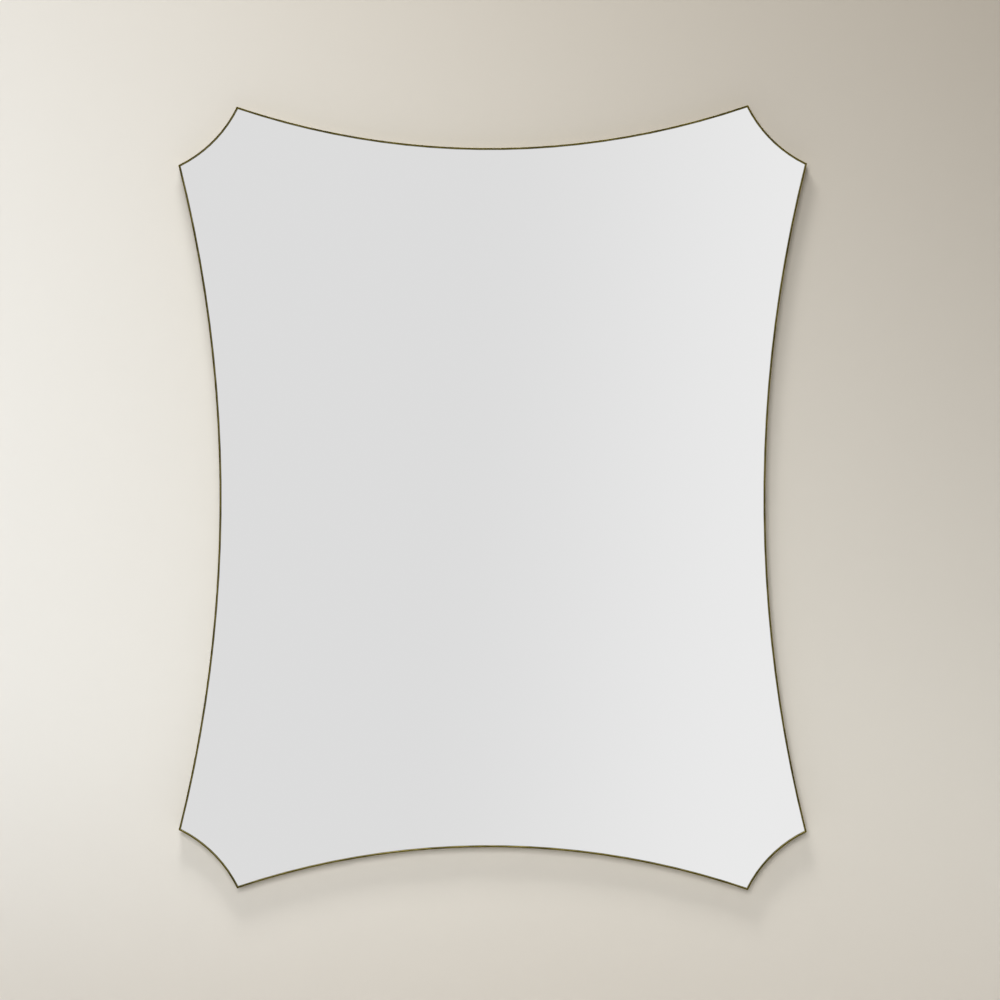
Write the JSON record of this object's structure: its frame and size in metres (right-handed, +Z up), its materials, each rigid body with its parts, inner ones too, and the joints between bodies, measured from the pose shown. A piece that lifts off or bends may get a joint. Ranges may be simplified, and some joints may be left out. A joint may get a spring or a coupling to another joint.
{
  "type": "wall mirror",
  "caption": "Wall mirror whose outline is bowed sides and scalloped corners meeting in points, in a thin metal strip frame, with a screwed backer board and swinging ring hangers.",
  "frame": {"origin": "middle of the outline, halfway between the wall and the frame's front edge", "axes": "+X to the right as the mirror is looked at, +Z up, +Y away from the viewer, to the wall"},
  "size_m": [0.813, 0.025, 1.013],
  "materials": {
    "frame_metal": "aged olive brass plating on steel strip, brushed along its length",
    "tab_steel": "plated with the frame",
    "mirror_glass": "silvered float glass",
    "safety_film": "woven backing film",
    "foam_tape": "closed-cell foam",
    "fibreboard": "bare medium-density fibreboard",
    "screw_steel": "bright zinc plate",
    "hanger_steel": "bright zinc plate",
    "ring_steel": "bright zinc plate",
    "bumper_rubber": "moulded black rubber"
  },
  "bodies": {
    "root": {"frame_top": "frame_metal", "frame_right": "frame_metal", "frame_bottom": "frame_metal", "frame_left": "frame_metal", "frame_corner_top_left": "frame_metal", "frame_corner_top_right": "frame_metal", "frame_corner_bottom_right": "frame_metal", "frame_corner_bottom_left": "frame_metal", "tab_top_left": "tab_steel", "tab_top_right": "tab_steel", "tab_right_upper": "tab_steel", "tab_right_middle": "tab_steel", "tab_right_lower": "tab_steel", "tab_bottom_right": "tab_steel", "tab_bottom_left": "tab_steel", "tab_left_lower": "tab_steel", "tab_left_middle": "tab_steel", "tab_left_upper": "tab_steel", "mirror_glass": "mirror_glass", "safety_film": "safety_film", "mounting_tape_1": "foam_tape", "mounting_tape_2": "foam_tape", "mounting_tape_3": "foam_tape", "mounting_tape_4": "foam_tape", "mounting_tape_5": "foam_tape", "backer_board": "fibreboard", "tab_screws": "screw_steel", "hanger_screws": "screw_steel", "hanger_strap_left": "hanger_steel", "hanger_strap_right": "hanger_steel", "wall_bumper_top_left": "bumper_rubber", "wall_bumper_top_right": "bumper_rubber", "wall_bumper_bottom_left": "bumper_rubber", "wall_bumper_bottom_right": "bumper_rubber"},
    "hanger_ring_left": {"hanger_ring_left": "ring_steel"},
    "hanger_ring_right": {"hanger_ring_right": "ring_steel"}
  },
  "joints": [
    {"name": "hanger_ring_left_swing", "type": "hinge", "parent": "root", "child": "hanger_ring_left", "pos_m": [-0.3, 0.0076, 0.255], "axis": [-1, 0, 0], "range_deg": [0, 182]},
    {"name": "hanger_ring_right_swing", "type": "hinge", "parent": "root", "child": "hanger_ring_right", "pos_m": [0.3, 0.0076, 0.255], "axis": [-1, 0, 0], "range_deg": [0, 182]}
  ]
}
